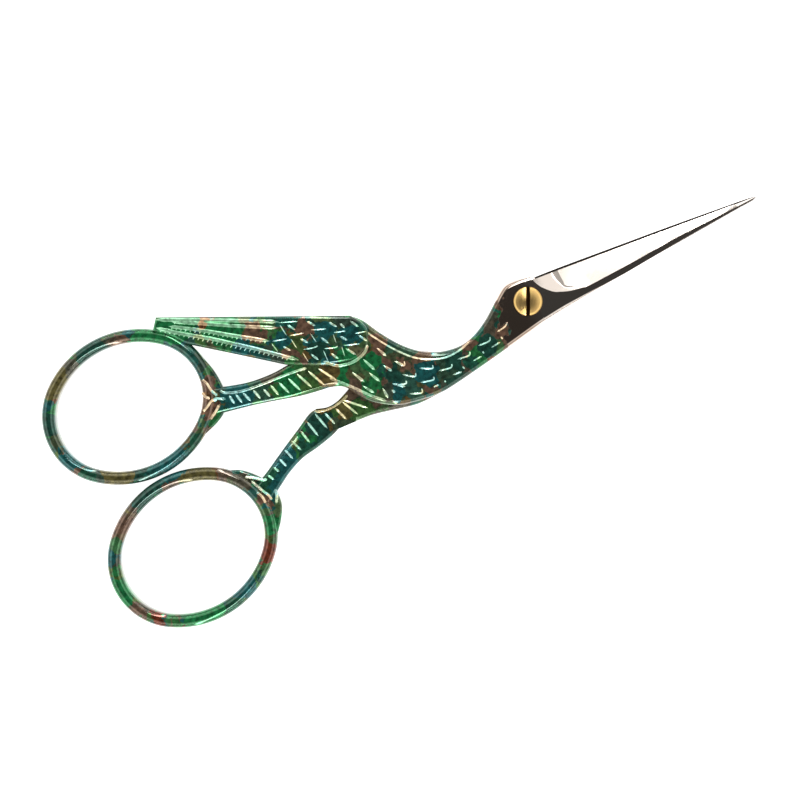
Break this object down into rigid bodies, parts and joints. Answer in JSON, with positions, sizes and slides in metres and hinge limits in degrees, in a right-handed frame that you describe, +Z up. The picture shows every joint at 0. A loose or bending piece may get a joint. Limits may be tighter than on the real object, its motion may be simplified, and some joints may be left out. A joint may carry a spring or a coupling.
{
  "type": "embroidery scissors",
  "caption": "Stork-shaped embroidery scissors with oval finger rings, a feathered body, ribbed legs, a brass pivot screw and fine pointed blades.",
  "frame": {"origin": "middle of the underside of the bounding box, with the closed scissors lying flat", "axes": "+X from the rings to the blade tips, +Y towards the stork's back, +Z up out of the surface it lies on"},
  "size_m": [0.0946, 0.039, 0.0033],
  "materials": {
    "plated_steel": "polished forged steel, with a marbled green plating on rings, legs and body that fades to bare bright blades",
    "screw_brass": "turned and polished"
  },
  "bodies": {
    "back": {"back_half": "plated_steel", "pivot_screw": "screw_brass"},
    "front": {"front_half": "plated_steel"}
  },
  "joints": [
    {"name": "pivot", "type": "hinge", "parent": "back", "child": "front", "pos_m": [0.01524, 0.00077, 0.00145], "axis": [0, 0, -1], "range_deg": [0, 90]}
  ]
}
